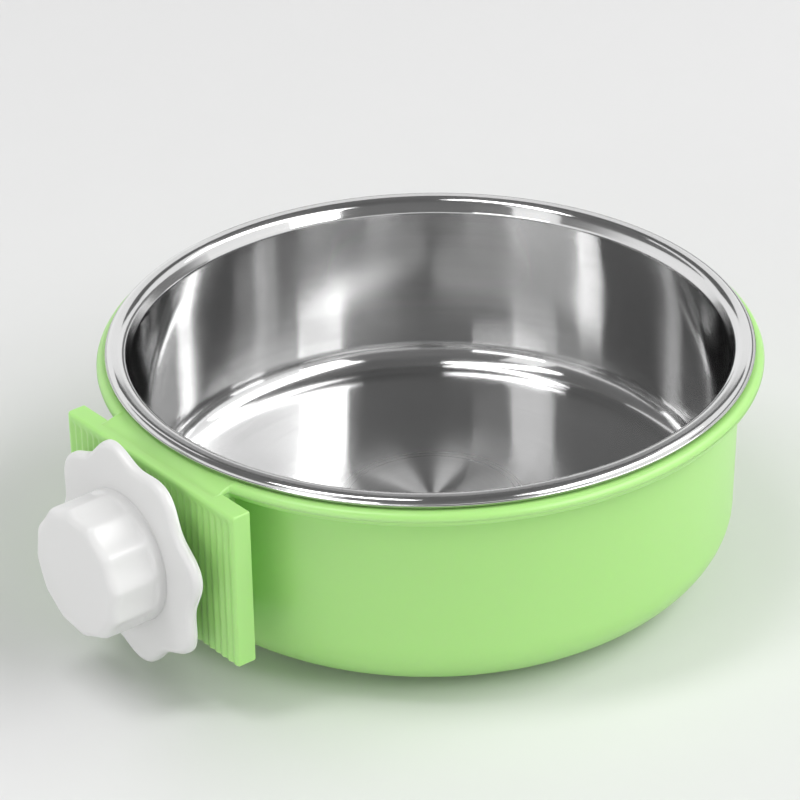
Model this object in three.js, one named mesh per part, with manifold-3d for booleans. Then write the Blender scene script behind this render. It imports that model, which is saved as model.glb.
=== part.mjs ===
// Clamp-on cage bowl: a stainless bowl that lifts out of a moulded plastic holder. The holder's ribbed
// plate goes against the inside of a wire cage, its stud passes between the wires, and a knob with a
// wavy pressure disc clamps the wires from outside.
//
// Millimetres, +Z up. The origin is the centre of the holder's base, on the surface it stands on.
// The bowl's axis is Z, and the clamp faces -Y.

import * as THREE from 'three';
import { mergeVertices } from 'three/addons/utils/BufferGeometryUtils.js';
import Module from 'manifold-3d';

const wasm = await Module();
wasm.setup();

// ---------------------------------------------------------------- driving dimensions

const FIT_GAP = 0.3;            // clearance between pieces that touch on the real object
const OVERRUN = 1;              // how far a cutter runs past a face, or one solid into the next
const BOWL_SEGMENTS = 60;
const ROUND_SEGMENTS = 32;      // stud, bores and other small round features

const HOLDER = {
  baseRadius: 54.5,             // flat underside
  cornerWidth: 21,              // bottom corner, from the flat base to the wall
  cornerHeight: 16.3,
  cornerPower: 1.86,            // superellipse power: a little squarer than a straight chamfer
  wallTopRadius: 76.5,
  thickness: 2,
  flangeRadius: 82.2,
  flangeTop: 57.65,
  flangeHeight: 3.6,
  coveRadius: 1.45,             // under the flange
  mouthRadius: 74.5,
  mouthChamfer: 0.6,
};

const PLATE = {
  halfWidth: 33,
  front: 85,                    // distance from the bowl's axis to the plain plate behind the ribs
  thickness: 4.2,
  bottom: 15.6,
  top: 56.2,
  topChamfer: 0.7,
};
const PLATE_BACK = PLATE.front - PLATE.thickness;

const RIBS = {
  count: 27,                    // upright ridges on the plate's face
  pitch: 2.44,
  height: 1.1,
  valleyHeight: 0.6,
  borderHeight: 0.7,            // at the plate's two sides
  crestWidth: 0.6,
  top: 54.4,                    // a plain band is left above them
};
const CREST_PLANE = PLATE.front + RIBS.height;

const BRIDGE = { halfWidth: 23, bottom: 53.4, innerEnd: 76.6 };
const GUSSET = { offset: 17, thickness: 2.2, bottom: 20, innerEnd: 73.5 };

const STEEL = {
  sheet: 0.6,
  floor: 13,                    // height of the inner floor
  wallFootRadius: 72,           // inside of the wall, just above the corner
  wallFootHeight: 19.8,
  wallTopRadius: 73.5,
  wallTopHeight: 56.3,
  cornerRadius: 6.8,
  rimRadius: 80,
  rimTop: 60.3,
  rimTopRadius: 77.5,
  rimInnerRadius: 75.6,
  rimInnerHeight: 58.9,
  rimCrown: 0.3,                // how far the rim's inner half falls below its top
  flare: 0.9,                   // the wall's turn outwards under the rim
  flareRise: 1.1,
};

// The clamp's own frame: its +Z points away from the plate, and 0 is the plane of the rib crests.
const CLAMP_HEIGHT = 34.5;      // height of the clamp axis above the surface
const WIRE_GAP = 5.3;           // between the rib crests and the pressure disc

const STUD = { radius: 4, tip: 15.3, tipChamfer: 0.8, headAcross: 13, headBack: -8.4, headFront: -5.1 };
const BOSS = { radius: 10, back: -11.1, front: -4.4 };

const DISC = {
  meanRadius: 26.9,
  wave: 1.5,
  lobes: 8,
  firstLobe: THREE.MathUtils.degToRad(11),
  thickness: 2.45,
  edgeRound: 0.95,
  land: 1.2,                    // thickness of the web that the knob's snap lip holds
  holeRadius: 11,
  recessRadius: 13.3,
};
const DISC_FRONT = WIRE_GAP + DISC.thickness;

const KNOB = {
  radius: 16.6,
  base: DISC_FRONT + FIT_GAP,
  end: 22.6,
  endRound: 2.5,
  baseRound: 0.5,
  neckRadius: DISC.holeRadius - FIT_GAP,
  lipRadius: 12.9,
  lipChamfer: 0.4,
  boreEnd: 20.4,
  flutes: 12,
  firstFlute: 22,               // degrees
  fluteCutter: 16,              // radius of the bar that cuts a flute
  fluteDepth: 0.75,
  cutterTip: 3,                 // length of the bar's domed tip
  cutterStart: 0.2,             // from the knob's base to that tip; it bites about 2.1 mm further on
};
const KNOB_SEGMENTS = 48;
const FLUTE_SEGMENTS = 96;

const NUT = { across: 13, near: 8.3, far: 14.8 };

// ---------------------------------------------------------------- materials

function finish(colour, roughness, metalness) {
  return new THREE.MeshStandardMaterial({ color: colour, roughness, metalness });
}

const MATERIALS = {
  greenPlastic: finish(0xa5d987, 0.35, 0),
  whitePlastic: finish(0xf0f0ee, 0.3, 0),
  steel: finish(0xc4c6c8, 0.18, 1),
  zincSteel: finish(0xb0b4b8, 0.35, 1),
};

// ---------------------------------------------------------------- solids from three.js geometry

function solidFrom(geometry) {
  const bare = geometry.clone();
  bare.deleteAttribute('normal');
  bare.deleteAttribute('uv');
  const merged = mergeVertices(bare, 1e-4);
  const corners = [];
  for (let i = 0; i < merged.index.count; i += 3) {
    const [a, b, c] = [0, 1, 2].map((k) => merged.index.getX(i + k));
    if (a !== b && b !== c && c !== a) corners.push(a, b, c);
  }
  return new wasm.Manifold(new wasm.Mesh({
    numProp: 3,
    vertProperties: new Float32Array(merged.attributes.position.array),
    triVerts: Uint32Array.from(corners),
  }));
}

function geometryFrom(solid) {
  const result = solid.getMesh();
  const geometry = new THREE.BufferGeometry();
  geometry.setAttribute('position', new THREE.BufferAttribute(result.vertProperties, 3));
  geometry.setIndex(new THREE.BufferAttribute(result.triVerts, 1));
  geometry.computeVertexNormals();
  return geometry;
}

function meshFrom(name, solid, material) {
  const mesh = new THREE.Mesh(geometryFrom(solid), material.clone());
  mesh.name = name;
  return mesh;
}

// A profile of [radius, height] points, turned about Z.
function turned(profile, segments) {
  const points = profile.map(([radius, height]) => new THREE.Vector2(radius, height));
  return solidFrom(new THREE.LatheGeometry(points, segments).rotateX(Math.PI / 2));
}

function cylinder(radius, from, to, segments = ROUND_SEGMENTS) {
  return turned([[0, from], [radius, from], [radius, to], [0, to]], segments);
}

// A hexagonal prism along Z, given by its width across the flats.
function hexagon(across, from, to) {
  return cylinder(across / 2 / Math.cos(Math.PI / 6), from, to, 6);
}

function box([x0, y0, z0], [x1, y1, z1]) {
  const geometry = new THREE.BoxGeometry(x1 - x0, y1 - y0, z1 - z0);
  return solidFrom(geometry.translate((x0 + x1) / 2, (y0 + y1) / 2, (z0 + z1) / 2));
}

// Points on a circular or superelliptic arc about a centre, from one angle to another in degrees.
function arc([radius, height], [width, rise], fromAngle, toAngle, steps, power = 2) {
  const bent = (value) => Math.sign(value) * Math.abs(value) ** (2 / power);
  const points = [];
  for (let i = 0; i <= steps; i += 1) {
    const angle = THREE.MathUtils.degToRad(fromAngle + (toAngle - fromAngle) * i / steps);
    points.push([radius + width * bent(Math.cos(angle)), height + rise * bent(Math.sin(angle))]);
  }
  return points;
}

// From the clamp's own frame to the bowl's.
const CLAMP_FRAME = new THREE.Matrix4()
  .makeTranslation(0, -CREST_PLANE, CLAMP_HEIGHT)
  .multiply(new THREE.Matrix4().makeRotationX(Math.PI / 2));

function inBowlFrame(solid) {
  return solidFrom(geometryFrom(solid).applyMatrix4(CLAMP_FRAME));
}

// ---------------------------------------------------------------- steel bowl

function steelBowl() {
  const { sheet, floor, cornerRadius, wallTopRadius, wallTopHeight } = STEEL;
  const cornerAt = [STEEL.wallFootRadius - cornerRadius, STEEL.wallFootHeight];
  const seat = HOLDER.flangeTop + FIT_GAP;
  const lip = (STEEL.rimTop - seat) / 2;
  const outside = [
    [0, floor - sheet],
    ...arc(cornerAt, [cornerRadius + sheet, cornerRadius + sheet], -90, 0, 4),
    [wallTopRadius + sheet, wallTopHeight],
    [wallTopRadius + sheet + STEEL.flare / 3, seat - STEEL.flare / 2],
    [wallTopRadius + sheet + STEEL.flare, seat],
  ];
  const rolledEdge = arc([STEEL.rimRadius - lip, seat + lip], [lip, lip], -90, 60, 5);
  const inside = [
    [STEEL.rimTopRadius, STEEL.rimTop],
    [(STEEL.rimTopRadius + STEEL.rimInnerRadius) / 2, STEEL.rimTop - STEEL.rimCrown],
    [STEEL.rimInnerRadius, STEEL.rimInnerHeight],
    [wallTopRadius + STEEL.flare, wallTopHeight + STEEL.flareRise],
    [wallTopRadius, wallTopHeight],
    ...arc(cornerAt, [cornerRadius, cornerRadius], 0, -90, 4),
    [0, floor],
  ];
  const profile = [...outside, ...rolledEdge, ...inside];
  return meshFrom('steel_bowl', turned(profile, BOWL_SEGMENTS), MATERIALS.steel);
}

// ---------------------------------------------------------------- holder

function holderShell() {
  const { baseRadius, cornerWidth, cornerHeight, cornerPower, thickness } = HOLDER;
  const { flangeRadius, flangeTop, flangeHeight, coveRadius, mouthRadius, mouthChamfer } = HOLDER;
  const cornerAt = [baseRadius, cornerHeight];
  const flangeRound = flangeHeight / 2;
  const flangeAt = [flangeRadius - flangeRound, flangeTop - flangeRound];
  const coveAt = [HOLDER.wallTopRadius + coveRadius, flangeTop - flangeHeight - coveRadius];
  const inner = [cornerWidth - thickness, cornerHeight - thickness];
  return turned([
    [0, 0],
    ...arc(cornerAt, [cornerWidth, cornerHeight], -90, 0, 8, cornerPower),
    ...arc(coveAt, [coveRadius, coveRadius], 180, 90, 3),
    ...arc(flangeAt, [flangeRound, flangeRound], -90, 90, 6),
    [mouthRadius + mouthChamfer, flangeTop],
    [mouthRadius, flangeTop - mouthChamfer],
    ...arc(cornerAt, inner, 0, -90, 6, cornerPower),
    [0, thickness],
  ], BOWL_SEGMENTS);
}

// The plan outline of the plate's face: ridges with narrow crests.
function ridgedOutline() {
  const { halfWidth, front } = PLATE;
  const { count, pitch, height, valleyHeight, borderHeight, crestWidth } = RIBS;
  const outline = new THREE.Shape();
  outline.moveTo(-halfWidth, -front + OVERRUN);
  outline.lineTo(-halfWidth, -front - borderHeight);
  for (let i = 0; i < count; i += 1) {
    const middle = (i - (count - 1) / 2) * pitch;
    outline.lineTo(middle - crestWidth / 2, -front - height);
    outline.lineTo(middle + crestWidth / 2, -front - height);
    if (i < count - 1) outline.lineTo(middle + pitch / 2, -front - valleyHeight);
  }
  outline.lineTo(halfWidth, -front - borderHeight);
  outline.lineTo(halfWidth, -front + OVERRUN);
  return outline;
}

// The same outline without its valleys.
function plainOutline() {
  const { halfWidth, front } = PLATE;
  const { count, pitch, height, borderHeight, crestWidth } = RIBS;
  const crestEnd = ((count - 1) * pitch + crestWidth) / 2;
  const outline = new THREE.Shape();
  outline.moveTo(-halfWidth, -front + OVERRUN);
  outline.lineTo(-halfWidth, -front - borderHeight);
  outline.lineTo(-crestEnd, -front - height);
  outline.lineTo(crestEnd, -front - height);
  outline.lineTo(halfWidth, -front - borderHeight);
  outline.lineTo(halfWidth, -front + OVERRUN);
  return outline;
}

function upright(outline, from, to) {
  const shape = { depth: to - from, bevelEnabled: false };
  return solidFrom(new THREE.ExtrudeGeometry(outline, shape).translate(0, 0, from));
}

function ribbedPlate() {
  const { halfWidth, front, bottom, top, topChamfer } = PLATE;
  const plain = box([-halfWidth, -front, bottom], [halfWidth, -PLATE_BACK, top]);
  const ridges = upright(ridgedOutline(), bottom, RIBS.top + OVERRUN);
  const band = upright(plainOutline(), RIBS.top, top);
  const topEdge = box(
    [-halfWidth - OVERRUN, -2 * topChamfer, 0],
    [halfWidth + OVERRUN, 2 * topChamfer, 2 * topChamfer],
  ).rotate([45, 0, 0]).translate([0, -CREST_PLANE + topChamfer / 2, top - topChamfer / 2]);
  return plain.add(ridges).add(band).subtract(topEdge);
}

// The web under the flange, two upright gussets and a boss join the plate to the bowl.
function plateSupports() {
  const intoPlate = PLATE_BACK + 0.4;
  const web = box(
    [-BRIDGE.halfWidth, -intoPlate, BRIDGE.bottom],
    [BRIDGE.halfWidth, -BRIDGE.innerEnd, PLATE.top],
  );
  const gussets = [-1, 1].map((side) => {
    const middle = side * GUSSET.offset;
    return box(
      [middle - GUSSET.thickness / 2, -intoPlate, GUSSET.bottom],
      [middle + GUSSET.thickness / 2, -GUSSET.innerEnd, BRIDGE.bottom + 1],
    );
  });
  const boss = inBowlFrame(cylinder(BOSS.radius, BOSS.back, BOSS.front));
  return [web, ...gussets, boss];
}

function holderBowl() {
  const { radius, headAcross, headBack, headFront } = STUD;
  const headPocket = hexagon(headAcross + 2 * FIT_GAP, headBack - FIT_GAP, headFront + FIT_GAP);
  const studHole = cylinder(radius + FIT_GAP, headFront, OVERRUN);
  let holder = holderShell().add(ribbedPlate());
  for (const support of plateSupports()) holder = holder.add(support);
  holder = holder.subtract(inBowlFrame(headPocket.add(studHole)));
  return meshFrom('holder_bowl', holder, MATERIALS.greenPlastic);
}

// ---------------------------------------------------------------- clamp, in its own frame

function clampStud() {
  const head = hexagon(STUD.headAcross, STUD.headBack, STUD.headFront);
  const shank = turned([
    [0, STUD.headBack + OVERRUN],
    [STUD.radius, STUD.headBack + OVERRUN],
    [STUD.radius, STUD.tip - STUD.tipChamfer],
    [STUD.radius - STUD.tipChamfer, STUD.tip],
    [0, STUD.tip],
  ], ROUND_SEGMENTS);
  return meshFrom('clamp_stud', head.add(shank), MATERIALS.zincSteel);
}

function clampDisc() {
  const steps = 56;
  const outline = new THREE.Shape();
  for (let i = 0; i < steps; i += 1) {
    const angle = 2 * Math.PI * i / steps;
    const wave = DISC.wave * Math.cos(DISC.lobes * (angle - DISC.firstLobe));
    const radius = DISC.meanRadius - DISC.edgeRound + wave;
    const point = [radius * Math.cos(angle), radius * Math.sin(angle)];
    if (i === 0) outline.moveTo(...point);
    else outline.lineTo(...point);
  }
  const plate = new THREE.ExtrudeGeometry(outline, {
    depth: DISC.thickness - 2 * DISC.edgeRound,
    bevelThickness: DISC.edgeRound,
    bevelSize: DISC.edgeRound,
    bevelSegments: 2,
  });
  plate.translate(0, 0, WIRE_GAP + DISC.edgeRound);
  const hole = cylinder(DISC.holeRadius, WIRE_GAP - OVERRUN, DISC_FRONT + OVERRUN);
  const recess = cylinder(DISC.recessRadius, WIRE_GAP - OVERRUN, DISC_FRONT - DISC.land);
  const disc = solidFrom(plate).subtract(hole.add(recess));
  return meshFrom('clamp_disc', disc, MATERIALS.whitePlastic);
}

function knob() {
  const { radius, base, end, endRound, baseRound, neckRadius, lipRadius, lipChamfer } = KNOB;
  const lipTop = DISC_FRONT - DISC.land - FIT_GAP;
  const body = turned([
    [0, WIRE_GAP + FIT_GAP],
    [lipRadius - lipChamfer, WIRE_GAP + FIT_GAP],
    [lipRadius, WIRE_GAP + FIT_GAP + lipChamfer],
    [lipRadius, lipTop],
    [neckRadius, lipTop],
    [neckRadius, base],
    [radius - baseRound, base],
    [radius, base + baseRound],
    ...arc([radius - endRound, end - endRound], [endRound, endRound], 0, 90, 4),
    [0, end],
  ], KNOB_SEGMENTS);

  // Each flute is cut by a bar with a domed tip that lies along the knob and runs out at its end face.
  const { fluteCutter, fluteDepth, cutterTip } = KNOB;
  const tipEnd = base + KNOB.cutterStart + cutterTip;
  const barProfile = [
    ...arc([0, tipEnd], [fluteCutter, cutterTip], -90, 0, 5),
    [fluteCutter, end + OVERRUN],
    [0, end + OVERRUN],
  ];
  const bar = turned(barProfile, FLUTE_SEGMENTS).translate([radius + fluteCutter - fluteDepth, 0, 0]);
  let cutters = cylinder(STUD.radius + FIT_GAP, WIRE_GAP - OVERRUN, KNOB.boreEnd);
  cutters = cutters.add(hexagon(NUT.across + 2 * FIT_GAP, NUT.near - FIT_GAP, NUT.far + FIT_GAP));
  for (let i = 0; i < KNOB.flutes; i += 1) {
    const turn = KNOB.firstFlute + 360 * i / KNOB.flutes;
    cutters = cutters.add(bar.rotate([0, 0, turn]));
  }
  return meshFrom('knob', body.subtract(cutters), MATERIALS.whitePlastic);
}

function knobNut() {
  const threadBore = cylinder(STUD.radius + FIT_GAP, NUT.near - OVERRUN, NUT.far + OVERRUN);
  const nut = hexagon(NUT.across, NUT.near, NUT.far).subtract(threadBore);
  return meshFrom('knob_nut', nut, MATERIALS.zincSteel);
}

// ---------------------------------------------------------------- assembly

const clamp = new THREE.Group();
clamp.applyMatrix4(CLAMP_FRAME);
clamp.add(clampStud(), clampDisc(), knob(), knobNut());

const cageBowl = new THREE.Group();
cageBowl.add(holderBowl(), steelBowl(), clamp);

export default cageBowl;
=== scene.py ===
import math

import bpy
import numpy as np
from mathutils import Matrix, Vector


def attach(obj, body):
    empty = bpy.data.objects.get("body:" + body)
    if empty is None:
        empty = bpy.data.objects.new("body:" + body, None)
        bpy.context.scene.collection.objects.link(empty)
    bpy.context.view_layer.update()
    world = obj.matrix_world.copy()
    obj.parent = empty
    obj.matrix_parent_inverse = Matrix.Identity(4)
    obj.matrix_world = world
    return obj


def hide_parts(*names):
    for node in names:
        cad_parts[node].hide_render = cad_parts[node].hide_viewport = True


# Looks for the clamp-on cage bowl. Shapes below are in millimetres in the frame of the CAD model:
# Z up, the bowl's axis on Z, the clamp towards -Y. They become metres when a mesh is made.

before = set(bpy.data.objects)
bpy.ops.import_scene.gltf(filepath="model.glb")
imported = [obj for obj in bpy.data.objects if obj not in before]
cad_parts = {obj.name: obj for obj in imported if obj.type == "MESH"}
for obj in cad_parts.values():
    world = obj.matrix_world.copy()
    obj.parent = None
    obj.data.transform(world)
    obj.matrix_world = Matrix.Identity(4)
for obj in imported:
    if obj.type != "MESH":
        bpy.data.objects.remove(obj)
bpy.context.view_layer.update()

MM = 0.001
TURN = 2 * math.pi

# ---------------------------------------------------------------- sizes

STEEL_SHEET = 0.6
STEEL_FLOOR = 13.0
STEEL_WALL_FOOT = 72.0
STEEL_WALL_TOP = 73.5

FLANGE_RADIUS = 82.2
FLANGE_TOP = 57.65
FLANGE_HEIGHT = 3.6
FLANGE_POINTS = 40
WALL_THICKNESS = 2.0
BASE_RADIUS = 54.5

PLATE_HALF_WIDTH = 33.0
PLATE_FACE = 86.1
PLATE_BACK = 80.8
PLATE_BOTTOM = 15.6
PLATE_TOP = 56.2
RIB_PITCH = 2.44
RIB_DEPTH = 0.5
RIB_BORDER = 31.72
RIB_TOP = 54.4
WEB_HALF_ANGLE = 15.55
WEB_EDGE = 0.45                 # degrees over which the web fades in or out
WEB_UNDERSIDE = 54.0
GUSSET_OFFSET = 17.0

CLAMP_HEIGHT = 34.5
WIRE_GAP = 5.3
DISC_THICKNESS = 2.45
DISC_FRONT = WIRE_GAP + DISC_THICKNESS
KNOB_BASE = DISC_FRONT + 0.02
KNOB_END = 22.6
KNOB_RADIUS = 16.6
FLUTES = 12
NUT_NEAR = 8.3
NUT_FAR = 14.8
STUD_TIP = 15.3
THREAD_PITCH = 1.25
THREAD_MAJOR = 3.95
THREAD_MINOR = 3.3
THREAD_CLEARANCE = 0.12
THREAD_STEP = 0.1               # between the rows of points along a thread
THREAD_TURN_POINTS = 96

# The clamp's own frame: Z runs outwards from the plate's face along the stud.
CLAMP_PLACE = Matrix.Translation((0, -PLATE_FACE, CLAMP_HEIGHT))
CLAMP_FRAME = CLAMP_PLACE @ Matrix.Rotation(math.pi / 2, 4, "X")


# ---------------------------------------------------------------- outlines

def smooth(value, low, high):
    """0 below low, 1 above high, and a smooth step between."""
    t = np.clip((value - low) / (high - low), 0.0, 1.0)
    return t * t * (3.0 - 2.0 * t)


def rounded(corners, steps=8, support=0.35):
    """An outline through (radius, height, fillet) corners, each fillet an arc between two points."""
    points = [np.array(corners[0][:2], float)]
    for before, corner, after in zip(corners, corners[1:], corners[2:]):
        here = np.array(corner[:2], float)
        back = np.array(before[:2], float) - here
        ahead = np.array(after[:2], float) - here
        back_length, ahead_length = np.linalg.norm(back), np.linalg.norm(ahead)
        back, ahead = back / back_length, ahead / ahead_length
        half = math.acos(np.clip(back @ ahead, -1.0, 1.0)) / 2
        fillet = corner[2]
        reach = fillet / math.tan(half)
        centre = here + (back + ahead) / np.linalg.norm(back + ahead) * fillet / math.sin(half)
        start, end = here + back * reach - centre, here + ahead * reach - centre
        first = math.atan2(start[1], start[0])
        sweep = (math.atan2(end[1], end[0]) - first + math.pi) % TURN - math.pi
        if back_length > reach + 2 * support:
            points.append(here + back * (reach + support))
        for k in range(steps + 1):
            angle = first + sweep * k / steps
            points.append(centre + fillet * np.array([math.cos(angle), math.sin(angle)]))
        if ahead_length > reach + 2 * support:
            points.append(here + ahead * (reach + support))
    points.append(np.array(corners[-1][:2], float))
    return points


def closed(corners, steps=6, support=0.35):
    """As rounded, for an outline that closes on itself."""
    ring = list(corners)
    return rounded([ring[-1]] + ring + [ring[0]], steps, support)[1:-1]


def dense(points, longest=4.0):
    """The outline with its long straight stretches divided."""
    result = [points[0]]
    for start, end in zip(points, points[1:]):
        pieces = max(1, math.ceil(np.linalg.norm(end - start) / longest))
        result.extend(start + (end - start) * k / pieces for k in range(1, pieces + 1))
    return result


def resampled(points, count):
    """The outline as count points, evenly spaced along it."""
    line = np.array(points, float)
    along = np.concatenate([[0.0], np.cumsum(np.linalg.norm(np.diff(line, axis=0), axis=1))])
    places = np.linspace(0.0, along[-1], count)
    return np.stack([np.interp(places, along, line[:, k]) for k in (0, 1)], axis=1)


def corner_curve(inset, steps=16):
    """The holder's bottom corner from base to wall: nearly a quarter circle, as a superellipse."""
    power, width, height = 1.86, 21.0, 16.3
    angles = np.linspace(0.0, math.pi / 2, steps)
    radius = BASE_RADIUS + (width - inset) * np.sin(angles) ** (2 / power)
    z = height - (height - inset) * np.cos(angles) ** (2 / power)
    return [np.array(point) for point in zip(radius, z)]


def sheet_outline(line, thickness):
    """The closed outline of a sheet of even thickness along a line that starts on the axis."""
    line = np.array(line)
    along = np.gradient(line, axis=0)
    along /= np.linalg.norm(along, axis=1)[:, None]
    side = np.stack([along[:, 1], -along[:, 0]], axis=1) * thickness / 2
    outer, inner = line + side, line - side
    outer[0, 0] = inner[0, 0] = 0.0
    return list(outer) + list(inner[::-1])


# ---------------------------------------------------------------- meshes

def mesh_object(name, vertices, faces, matrix=None):
    mesh = bpy.data.meshes.new(name)
    mesh.from_pydata((np.asarray(vertices) * MM).tolist(), [], faces)
    if matrix is not None:
        in_metres = matrix.copy()
        in_metres.translation = matrix.translation * MM
        mesh.transform(in_metres)
    mesh.shade_smooth()
    obj = bpy.data.objects.new(name, mesh)
    bpy.context.scene.collection.objects.link(obj)
    return obj


def turned(name, outline, angles, shape=None, matrix=None, ring=False):
    """A closed solid turned about Z.

    The outline runs counter-clockwise from the axis back to it, or in a ring closes on itself.
    shape(radius, height, angle) may return new radii and heights.
    """
    line = np.array(outline, float)
    body = line if ring else line[1:-1]
    angle = np.repeat(np.asarray(angles)[:, None], len(body), axis=1)
    radius = np.repeat(body[None, :, 0], len(angles), axis=0)
    height = np.repeat(body[None, :, 1], len(angles), axis=0)
    if shape is not None:
        radius, height = shape(radius, height, angle)
    points = np.stack([radius * np.cos(angle), radius * np.sin(angle), height], axis=-1)
    turns, rows = len(angles), len(body)
    faces = []
    for i in range(turns):
        here, there = i * rows, (i + 1) % turns * rows
        for j in range(rows if ring else rows - 1):
            k = (j + 1) % rows
            faces.append((here + j, there + j, there + k, here + k))
    vertices = points.reshape(-1, 3).tolist()
    if not ring:
        first, last = len(vertices), len(vertices) + 1
        vertices += [[0.0, 0.0, line[0, 1]], [0.0, 0.0, line[-1, 1]]]
        for i in range(turns):
            here, there = i * rows, (i + 1) % turns * rows
            faces.append((first, there, here))
            faces.append((last, here + rows - 1, there + rows - 1))
    return mesh_object(name, vertices, faces, matrix)


def even_angles(count):
    return np.arange(count) * 2 * math.pi / count


def lofted(name, sections):
    """A closed solid through sections that all have the same number of (x, y, z) points."""
    sections = np.array(sections)
    count, size = sections.shape[:2]
    faces = [tuple(range(size))[::-1], tuple((count - 1) * size + k for k in range(size))]
    for i in range(count - 1):
        for j in range(size):
            k = (j + 1) % size
            faces.append((i * size + j, i * size + k, (i + 1) * size + k, (i + 1) * size + j))
    return mesh_object(name, sections.reshape(-1, 3), faces)


# ---------------------------------------------------------------- steel bowl

def steel_bowl():
    half = STEEL_SHEET / 2
    line = rounded([
        (0, STEEL_FLOOR - half, 0),
        (STEEL_WALL_FOOT + half - 0.15, STEEL_FLOOR - half, 6.8),
        (STEEL_WALL_TOP + half + 0.05, 56.9, 1.6),
        (75.65, 60.0, 2.2),
        (79.7, 60.0, 1.45),
        (79.7, 58.25, 0.5),
        (77.2, 58.25, 0),
    ], steps=12)
    outline = sheet_outline(dense(line, 3.0), STEEL_SHEET)
    return turned("steel_bowl_spun", outline, even_angles(288))


# ---------------------------------------------------------------- holder

def flange_curves():
    """The flange's section where it is plain, and where the web runs out from it into the plate."""
    round_radius = FLANGE_HEIGHT / 2
    low = FLANGE_TOP - FLANGE_HEIGHT
    plain = rounded([
        (76.42, 50.0, 0),
        (76.5, low, 1.4),
        (FLANGE_RADIUS, low, round_radius - 0.01),
        (FLANGE_RADIUS, FLANGE_TOP, round_radius - 0.01),
        (76.2, FLANGE_TOP, 0),
    ], steps=12)
    web_low, web_end = 53.4, 83.7
    slope_start, slope_end, slope_fall = 78.6, 83.0, 1.44
    distances = np.linspace(web_end, slope_start, 16)
    slope = [(d, FLANGE_TOP - slope_fall * smooth(d, slope_start, slope_end)) for d in distances]
    end_top = slope[0][1]
    web = rounded([
        (76.42, 50.0, 0),
        (76.5, web_low, 1.4),
        (web_end, web_low, 0.3),
        (web_end, end_top, 0),
    ])
    web = web[:-1] + [(web_end, end_top - 0.4)] + slope + [(76.2, FLANGE_TOP)]
    return resampled(plain, FLANGE_POINTS), resampled(web, FLANGE_POINTS)


def holder_shell():
    plain, web = flange_curves()
    outer = dense([np.array([0.0, 0.0]), np.array([8.0, 0.0])] + corner_curve(0.0))
    mouth = rounded([
        (76.2, FLANGE_TOP, 0),
        (74.5, FLANGE_TOP, 0.5),
        (74.42, 50.0, 0),
    ], steps=5)[1:]
    inner = dense(mouth + corner_curve(WALL_THICKNESS)[::-1] + [np.array([0.0, WALL_THICKNESS])])
    start = len(outer) - 1
    outline = outer + list(plain) + inner

    def with_web(radius, height, angle):
        from_front = np.degrees(np.abs((angle + math.pi / 2 + math.pi) % TURN - math.pi))
        share = 1.0 - smooth(from_front, WEB_HALF_ANGLE - WEB_EDGE, WEB_HALF_ANGLE + WEB_EDGE)
        cosine = np.cos(np.radians(np.minimum(from_front, 20.0)))
        for k in range(FLANGE_POINTS):
            distance = web[k, 0]
            flatness = smooth(distance, 79.0, 81.5)
            straight = distance * (1.0 + flatness * (1.0 / cosine[:, 0] - 1.0))
            row = start + k
            radius[:, row] += share[:, 0] * (straight - plain[k, 0])
            height[:, row] += share[:, 0] * (web[k, 1] - plain[k, 1])
        return radius, height

    edge = np.linspace(-1.2, 1.2, 17) + WEB_HALF_ANGLE
    fine = np.concatenate([-90.0 - edge, -90.0 + edge])
    coarse = np.arange(0.0, 360.0, 1.25)
    apart = np.abs((coarse[:, None] - fine[None, :] + 180.0) % 360.0 - 180.0).min(axis=1)
    angles = np.radians(np.sort(np.concatenate([coarse[apart > 0.4], fine % 360.0])))
    return turned("holder_shell", outline, angles, with_web)


def valley_depth(x):
    """How far the face falls back at each x: soft triangular valleys between two plain borders."""
    fine = np.linspace(-36.0, 36.0, 2881)
    phase = np.abs((fine / RIB_PITCH + 0.5) % 1.0 - 0.5) * 2.0
    depth = np.where(np.abs(fine) > RIB_BORDER, 0.0, RIB_DEPTH * phase)
    kernel = np.exp(-0.5 * (np.arange(-20, 21) / 7.0) ** 2)
    depth = np.convolve(depth, kernel / kernel.sum(), mode="same")
    return np.interp(x, fine, depth)


def holder_plate():
    face, back = -PLATE_FACE, -PLATE_BACK
    outline = closed([
        (back, PLATE_BOTTOM, 0.5),
        (back, PLATE_TOP, 0.5),
        (face, PLATE_TOP, 0.8),
        (face, PLATE_BOTTOM, 0.35),
    ], steps=8)
    outline = np.array(dense(list(outline) + [outline[0]], 0.7)[:-1])
    centre = np.array([(face + back) / 2, (PLATE_BOTTOM + PLATE_TOP) / 2])
    round_end, end_fall = 0.45, 0.4
    across = np.arange(-PLATE_HALF_WIDTH + round_end, PLATE_HALF_WIDTH - round_end + 0.01, 0.12)
    ends = round_end * (1.0 - np.cos(np.linspace(0.0, math.pi / 2, 6)))[:-1]
    places = np.concatenate([-PLATE_HALF_WIDTH + ends, across, PLATE_HALF_WIDTH - ends[::-1]])
    in_front = 1.0 - smooth(outline[:, 0], face + 0.05, face + 0.6)
    below_top = 1.0 - smooth(outline[:, 1], RIB_TOP - 1.2, RIB_TOP + 0.3)
    towards_face = (back - outline[:, 0]) / (back - face)
    sections = []
    for x in places:
        section = outline.copy()
        section[:, 0] += valley_depth(x) * in_front * below_top
        outer = smooth(abs(x), RIB_BORDER - 0.3, PLATE_HALF_WIDTH + 0.4)
        section[:, 0] += end_fall * outer * towards_face
        inside = max(0.0, round_end - (PLATE_HALF_WIDTH - abs(x)))
        inset = round_end - math.sqrt(max(round_end ** 2 - inside ** 2, 0.0))
        half_size = np.array([(back - face) / 2, (PLATE_TOP - PLATE_BOTTOM) / 2])
        section = centre + (section - centre) * (1.0 - inset / half_size)
        sections.append([(x, y, z) for y, z in section])
    return lofted("holder_plate", sections)


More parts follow.
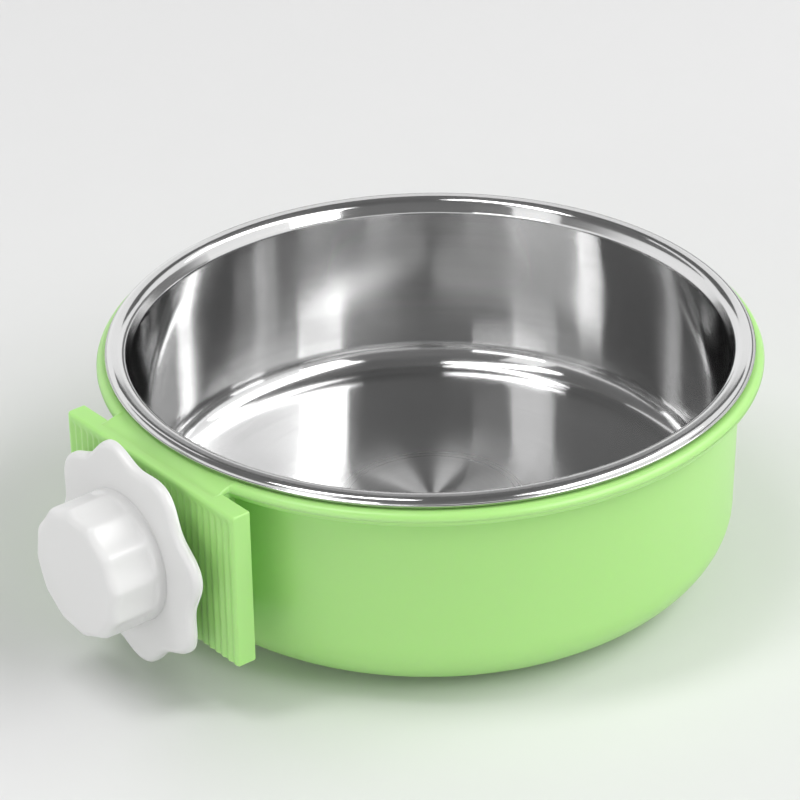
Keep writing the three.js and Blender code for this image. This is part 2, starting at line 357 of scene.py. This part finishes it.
def upright_block(name, x, width, outline):
    """A block with softened edges between two planes of constant x. outline holds (y, z) corners."""
    ring = np.array(closed([(y, z, 0.4) for y, z in outline], steps=4))
    centre = ring.mean(axis=0)
    spread = np.abs(ring - centre).max(axis=0)
    edge = [(0.0, 0.35), (0.1, 0.1), (0.35, 0.0)]
    steps = [(depth - width / 2, inset) for depth, inset in edge]
    steps += [(width / 2 - depth, inset) for depth, inset in reversed(edge)]
    sections = []
    for offset, inset in steps:
        shrunk = centre + (ring - centre) * (1.0 - inset / spread)
        sections.append([(x + offset, y, z) for y, z in shrunk])
    return lofted(name, sections)


def gussets():
    inner, outer, bottom, width = -73.5, -82.4, 20.0, 2.2
    outline = [(inner, bottom), (inner, WEB_UNDERSIDE), (outer, WEB_UNDERSIDE), (outer, bottom)]
    sides = (("left", -GUSSET_OFFSET), ("right", GUSSET_OFFSET))
    return [upright_block(f"holder_gusset_{side}", x, width, outline) for side, x in sides]


def stud_boss():
    radius, back, front = 10.0, -11.1, -3.9
    corners = [(0, back, 0), (radius, back, 0.3), (radius, front, 0.3), (0, front, 0)]
    outline = rounded(corners, steps=4)
    return turned("holder_boss", outline, even_angles(96), matrix=CLAMP_FRAME)


# ---------------------------------------------------------------- clamp

def thread_radius(height, angle, clearance=0.0):
    """The radius of a right-hand thread at each height and angle."""
    flank_slope, root = 2.4, 0.35
    phase = (height / THREAD_PITCH - angle / TURN) % 1.0
    tooth = np.clip(np.abs(phase - 0.5) * flank_slope - root, 0.0, 1.0)
    return THREAD_MINOR + (THREAD_MAJOR - THREAD_MINOR) * tooth + clearance


def hexagon_radius(radius, angle, corner):
    """The radius of a hexagon with flats at the given radius, its corners cut off at another."""
    from_flat = (angle + math.pi / 6) % (math.pi / 3) - math.pi / 6
    return np.minimum(radius / np.cos(from_flat), corner)


def clamp_stud():
    """The stud, with its hexagonal head buried in the boss and a thread along its shank."""
    head_back, head_front, head_radius, head_corner, chamfer = -8.4, -5.1, 6.5, 7.2, 0.3
    shank_radius, tip_radius = 3.9, 3.15
    heights = np.arange(head_front, STUD_TIP - THREAD_STEP / 2, THREAD_STEP)
    outline = [
        (0.0, head_back),
        (head_radius - chamfer, head_back),
        (head_radius, head_back + chamfer),
        (head_radius, head_front - chamfer),
        (head_radius - chamfer, head_front),
        *((shank_radius, z) for z in heights),
        (tip_radius, STUD_TIP),
        (0.0, STUD_TIP),
    ]

    def hexagon_and_thread(radius, height, angle):
        tip_cone = tip_radius + np.maximum(STUD_TIP - height, 0.0)
        threaded = np.minimum(thread_radius(height, angle), tip_cone)
        hexagonal = hexagon_radius(radius, angle, head_corner)
        radius = np.where(height < head_front + 0.01, hexagonal, radius)
        radius = np.where(height > head_front + 0.05, threaded, radius)
        return radius, height

    angles = even_angles(THREAD_TURN_POINTS)
    return turned("clamp_stud_threaded", outline, angles, hexagon_and_thread, CLAMP_FRAME)


def knob_nut():
    """The nut buried in the knob, with a thread down its bore."""
    flat_radius, corner, bore_radius, bore_limit = 6.5, 0.75, 4.0, 4.5
    chamfer_across, chamfer_along = 0.5, 0.4
    outline = [
        (flat_radius - chamfer_across, NUT_NEAR),
        (flat_radius, NUT_NEAR + chamfer_along),
        (flat_radius, NUT_FAR - chamfer_along),
        (flat_radius - chamfer_across, NUT_FAR),
        *((bore_radius, z) for z in np.arange(NUT_FAR, NUT_NEAR - 0.01, -THREAD_STEP)),
    ]

    def hexagon_and_thread(radius, height, angle):
        hexagonal = hexagon_radius(radius, angle, radius + corner)
        threaded = thread_radius(height, angle, THREAD_CLEARANCE)
        return np.where(radius > bore_limit, hexagonal, threaded), height

    angles = even_angles(THREAD_TURN_POINTS)
    return turned("knob_nut_threaded", outline, angles, hexagon_and_thread, CLAMP_FRAME, ring=True)


def clamp_disc():
    """The wavy disc, with a recess in its back for the knob's snap lip."""
    mean_radius, wave, lobes, first = 26.9, 1.5, 8, math.radians(11)
    back, front = WIRE_GAP, DISC_FRONT
    bore, recess, recess_end = 11.0, 13.3, WIRE_GAP + 1.25
    outline = closed([
        (recess, back, 0.2),
        (mean_radius, back, 0.15),
        (mean_radius, front, 1.6),
        (bore, front, 0.2),
        (bore, recess_end, 0.15),
        (recess, recess_end, 0.15),
    ], steps=10)
    outline = dense(list(outline) + [outline[0]], 1.5)[:-1]

    def wavy(radius, height, angle):
        share = smooth(radius, 19.0, mean_radius - 1.0)
        return radius + share * wave * np.cos(lobes * (angle - first)), height

    return turned("clamp_disc_wavy", outline, even_angles(320), wavy, CLAMP_FRAME, ring=True)


def knob():
    """The fluted barrel with its neck and the snap lip that holds the disc."""
    bore, bore_end = 4.35, 20.4
    neck, lip, lip_back, lip_front = 10.7, 12.9, WIRE_GAP + 0.3, WIRE_GAP + 0.95
    outline = rounded([
        (0, bore_end, 0),
        (bore, bore_end, 0.2),
        (bore, lip_back, 0.3),
        (lip, lip_back, 0.25),
        (lip, lip_front, 0.15),
        (neck, lip_front, 0.1),
        (neck, KNOB_BASE, 0.1),
        (KNOB_RADIUS + 0.2, KNOB_BASE, 0.03),
        (KNOB_RADIUS, KNOB_BASE + 0.25, 0.25),
        (KNOB_RADIUS, KNOB_END, 2.5),
        (0, KNOB_END, 0),
    ], steps=12)
    outline = dense(outline, 0.5)
    cutter, depth, first = 16.0, 0.8, math.radians(22)
    flute_start, scoop, inner_end = KNOB_BASE + 2.3, 1.1, 12.5
    soft, end_fade, fade_length = 0.5, 0.4, 3.0

    def fluted(radius, height, angle):
        step = TURN / FLUTES
        off = (angle - first + step / 2) % step - step / 2
        rise = 1.0 - np.clip((height - flute_start) / scoop, 0.0, 1.0)
        reach = KNOB_RADIUS + cutter - depth * np.sqrt(1.0 - rise ** 2)
        under = cutter ** 2 - (reach * np.sin(off)) ** 2
        cut = reach * np.cos(off) - np.sqrt(np.maximum(under, 0.0))
        cut = np.where((under > 0) & (height > flute_start), cut, KNOB_RADIUS + 1.0)
        near = np.clip(0.5 + 0.5 * (cut - KNOB_RADIUS) / soft, 0.0, 1.0)
        crest = cut * (1 - near) + KNOB_RADIUS * near - soft * near * (1 - near)
        share = smooth(radius, inner_end, KNOB_RADIUS - 0.2)
        share = share * (1.0 - end_fade * smooth(height, KNOB_END - fade_length, KNOB_END))
        outside = (height > KNOB_BASE + 1.0) & (radius > inner_end)
        return np.where(outside, radius - (KNOB_RADIUS - crest) * share, radius), height

    return turned("knob_fluted", outline, even_angles(FLUTES * 32), fluted, CLAMP_FRAME)


# ---------------------------------------------------------------- materials

class Nodes:
    """A material's node tree, with short ways to add and join nodes."""

    def __init__(self, name):
        self.material = bpy.data.materials.new(name)
        self.material.use_nodes = True
        self.tree = self.material.node_tree
        self.shader = self.tree.nodes["Principled BSDF"]

    def add(self, kind, **settings):
        node = self.tree.nodes.new(kind)
        for key, value in settings.items():
            setattr(node, key, value)
        return node

    def join(self, out, into):
        self.tree.links.new(out, into)

    def feed(self, socket, out):
        """Joins an output to one of the shader's own sockets."""
        self.join(out, self.shader.inputs[socket])

    def place(self):
        return self.add("ShaderNodeTexCoord").outputs["Object"]

    def noise(self, vector, scale, detail=2.0):
        node = self.add("ShaderNodeTexNoise")
        node.inputs["Scale"].default_value = scale
        node.inputs["Detail"].default_value = detail
        self.join(vector, node.inputs["Vector"])
        return node.outputs["Fac"]

    def ramp(self, value, from_min, from_max, low, high, **settings):
        node = self.add("ShaderNodeMapRange", **settings)
        node.inputs["From Min"].default_value = from_min
        node.inputs["From Max"].default_value = from_max
        node.inputs["To Min"].default_value = low
        node.inputs["To Max"].default_value = high
        self.join(value, node.inputs["Value"])
        return node.outputs["Result"]

    def mapped(self, noise, low, high):
        """Spreads a noise, which seldom leaves 0.3 to 0.7, between low and high."""
        return self.ramp(noise, 0.3, 0.7, low, high)

    def blend(self, value, dark, light):
        node = self.add("ShaderNodeMix", data_type="RGBA")
        node.inputs["A"].default_value = (*dark, 1)
        node.inputs["B"].default_value = (*light, 1)
        for socket in node.inputs:
            if socket.name == "Factor" and socket.type == "VALUE":
                self.join(value, socket)
                break
        return next(o for o in node.outputs if o.type == "RGBA")

    def bump(self, height, distance, under=None):
        node = self.add("ShaderNodeBump")
        node.inputs["Distance"].default_value = distance
        node.inputs["Strength"].default_value = 1.0
        self.join(height, node.inputs["Height"])
        if under is not None:
            self.join(under, node.inputs["Normal"])
        return node.outputs["Normal"]

    def set(self, **values):
        for key, value in values.items():
            self.shader.inputs[key.replace("_", " ")].default_value = value


def turned_place(nodes):
    """(distance from the bowl's axis, height, 0), on which a texture forms rings."""
    split = nodes.add("ShaderNodeSeparateXYZ")
    nodes.join(nodes.place(), split.inputs[0])
    flat = nodes.add("ShaderNodeCombineXYZ")
    nodes.join(split.outputs["X"], flat.inputs["X"])
    nodes.join(split.outputs["Y"], flat.inputs["Y"])
    length = nodes.add("ShaderNodeVectorMath", operation="LENGTH")
    nodes.join(flat.outputs[0], length.inputs[0])
    rings = nodes.add("ShaderNodeCombineXYZ")
    nodes.join(length.outputs["Value"], rings.inputs["X"])
    nodes.join(split.outputs["Z"], rings.inputs["Y"])
    return rings.outputs[0], length.outputs["Value"]


def stainless():
    """Spun stainless: rings of fine and coarse polish, rougher at the centre, with faint dents."""
    nodes = Nodes("stainless_spun")
    nodes.set(Metallic=1.0, Anisotropic=1.0, Anisotropic_Rotation=0.25)
    rings, radius = turned_place(nodes)
    fine = nodes.noise(rings, 5200, 2)
    broad = nodes.noise(rings, 700, 2)
    nodes.feed("Base Color", nodes.blend(broad, (0.58, 0.58, 0.58), (0.66, 0.66, 0.66)))
    centre = nodes.ramp(radius, 0.010, 0.046, 0.24, 0.0, interpolation_type="SMOOTHSTEP")
    roughness = nodes.add("ShaderNodeMath", operation="ADD")
    nodes.join(nodes.mapped(fine, 0.09, 0.12), roughness.inputs[0])
    nodes.join(centre, roughness.inputs[1])
    nodes.feed("Roughness", roughness.outputs[0])
    nodes.feed("Normal", nodes.bump(nodes.noise(nodes.place(), 26, 1), 0.00025))
    tangent = nodes.add("ShaderNodeTangent", direction_type="RADIAL", axis="Z")
    nodes.feed("Tangent", tangent.outputs[0])
    return nodes.material


def moulded_plastic(name, dark, light, roughness, subsurface, reach, scale):
    """Moulded polypropylene: faint colour drift, a very fine skin and a soft glow below it."""
    nodes = Nodes(name)
    place = nodes.place()
    drift = nodes.noise(place, 18, 2)
    skin = nodes.noise(place, 1400, 3)
    waves = nodes.noise(place, 90, 1)
    nodes.feed("Base Color", nodes.blend(drift, dark, light))
    nodes.feed("Roughness", nodes.mapped(skin, roughness - 0.015, roughness + 0.015))
    nodes.feed("Normal", nodes.bump(skin, 0.000002, under=nodes.bump(waves, 0.00002)))
    nodes.set(IOR=1.6)
    nodes.set(Subsurface_Weight=subsurface, Subsurface_Radius=reach, Subsurface_Scale=scale)
    return nodes.material


def zinc_plate():
    nodes = Nodes("zinc_plate")
    place = nodes.place()
    mottle = nodes.noise(place, 260, 4)
    nodes.set(Metallic=1.0)
    nodes.feed("Base Color", nodes.blend(mottle, (0.46, 0.47, 0.49), (0.63, 0.63, 0.62)))
    nodes.feed("Roughness", nodes.mapped(mottle, 0.28, 0.42))
    nodes.feed("Normal", nodes.bump(nodes.noise(place, 3000, 2), 0.000005))
    return nodes.material


def pale_floor():
    nodes = Nodes("pale_floor")
    grain = nodes.noise(nodes.place(), 40, 3)
    nodes.feed("Base Color", nodes.blend(grain, (0.700, 0.700, 0.700), (0.710, 0.710, 0.710)))
    nodes.set(Roughness=0.6)
    return nodes.material


# ---------------------------------------------------------------- assembly

def finish_piece(piece, material, body, slot, *replaced):
    piece.data.materials.append(material)
    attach(piece, body)
    if replaced:
        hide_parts(*replaced)


def build_object():
    green = moulded_plastic("green_polypropylene", dark=(0.376, 0.694, 0.205),
                            light=(0.392, 0.716, 0.220), roughness=0.34, subsurface=0.30,
                            reach=(0.6, 1.0, 0.35), scale=0.003)
    white = moulded_plastic("white_polypropylene", dark=(0.710, 0.710, 0.705),
                            light=(0.725, 0.725, 0.72), roughness=0.34, subsurface=0.30,
                            reach=(1.0, 1.0, 1.0), scale=0.0012)
    zinc = zinc_plate()
    finish_piece(steel_bowl(), stainless(), "bowl", "stainless", "steel_bowl")
    finish_piece(holder_shell(), green, "holder", "holder_plastic", "holder_bowl")
    for part in [holder_plate(), *gussets(), stud_boss()]:
        finish_piece(part, green, "holder", "holder_plastic", "holder_bowl")
    finish_piece(clamp_stud(), zinc, "holder", "zinc_steel", "clamp_stud")
    finish_piece(clamp_disc(), white, "disc", "clamp_plastic", "clamp_disc")
    finish_piece(knob(), white, "knob", "clamp_plastic", "knob")
    finish_piece(knob_nut(), zinc, "knob", "zinc_steel", "knob_nut")


# ---------------------------------------------------------------- studio

ROOM = 2.2                      # radius of the room, in metres
LAMP_INSET = 0.3                # how far the lamps stand inside it, in metres
FLOOR_HALF_WIDTH = 6000


def direction(azimuth, elevation):
    """Azimuth counter-clockwise from +X, elevation above the floor, both in degrees."""
    a, e = math.radians(azimuth), math.radians(elevation)
    return Vector((math.cos(a) * math.cos(e), math.sin(a) * math.cos(e), math.sin(e)))


def softbox(name, azimuth, elevation, width, height, radiance):
    """A flat lamp that faces the object from near the room's edge; width and height in metres."""
    data = bpy.data.lights.new(name, "AREA")
    data.shape = "RECTANGLE"
    data.size, data.size_y = width, height
    data.energy = 4.0 * width * height * radiance
    light = bpy.data.objects.new(name, data)
    back = direction(azimuth, elevation)
    light.location = back * (ROOM - LAMP_INSET)
    light.rotation_euler = back.to_track_quat("Z", "Y").to_euler()
    bpy.context.scene.collection.objects.link(light)


def card(name, azimuths, elevations, grey):
    """A curved sheet of grey cloth round part of the room, between two azimuths and elevations."""
    turns = np.linspace(*azimuths, 25)
    rises = np.linspace(*elevations, 9)
    vertices = [direction(a, e) * ROOM / MM for e in rises for a in turns]
    faces = []
    for i in range(len(rises) - 1):
        for j in range(len(turns) - 1):
            k = i * len(turns) + j
            faces.append((k, k + 1, k + len(turns) + 1, k + len(turns)))
    cloth = mesh_object(name, vertices, faces)
    nodes = Nodes(name)
    weave = nodes.noise(nodes.place(), 60, 2)
    nodes.feed("Base Color", nodes.blend(weave, (grey * 0.95,) * 3, (grey * 1.05,) * 3))
    nodes.set(Roughness=1.0, Specular_IOR_Level=0.0)
    cloth.data.materials.append(nodes.material)


def studio():
    """A pale floor in a white room, with four softboxes and grey cloths round the object."""
    corners = ((-1, -1), (1, -1), (1, 1), (-1, 1))
    vertices = [(x * FLOOR_HALF_WIDTH, y * FLOOR_HALF_WIDTH, 0) for x, y in corners]
    floor = mesh_object("floor", vertices, [(0, 1, 2, 3)])
    floor.data.materials.append(pale_floor())

    world = bpy.data.worlds.new("studio")
    bpy.context.scene.world = world
    world.use_nodes = True
    background = world.node_tree.nodes["Background"]
    background.inputs["Color"].default_value = (1.0, 1.0, 1.0, 1)
    background.inputs["Strength"].default_value = 1.19

    softbox("key_left", 253.5, 70.0, 0.36, 1.05, 7.4)
    softbox("fill_right", 40.0, 50.0, 2.1, 0.66, 3.5)
    softbox("side_right", 8.0, 35.0, 0.57, 0.46, 4.4)
    softbox("low_left", 288.0, 19.5, 0.97, 0.30, 3.2)

    card("card_ceiling", (0, 360), (52, 90), 0.23)
    card("card_front", (286, 375), (13, 54), 0.25)
    card("card_back", (112, 172), (31, 52), 0.18)
    card("card_left", (190, 266), (26, 53), 0.25)
    card("card_right", (54, 150), (6, 18), 0.24)


def camera():
    """A long lens at the photograph's viewing angle, given as turns from the clamp's side (-Y)."""
    azimuth, elevation, roll = 51.29, 29.37, math.radians(-1.07)
    back = direction(azimuth - 90.0, elevation)
    data = bpy.data.cameras.new("camera")
    data.lens, data.sensor_width = 168.0, 36.0
    data.clip_start, data.clip_end = 0.05, 50.0
    view = bpy.data.objects.new("camera", data)
    turn = (-back).to_track_quat("-Z", "Y").to_matrix() @ Matrix.Rotation(roll, 3, "Z")
    view.matrix_world = Matrix.Translation((0.6265, -0.5119, 0.4971)) @ turn.to_4x4()
    bpy.context.scene.collection.objects.link(view)
    bpy.context.scene.camera = view


build_object()
studio()
camera()
bpy.context.scene.view_settings.view_transform = "Standard"
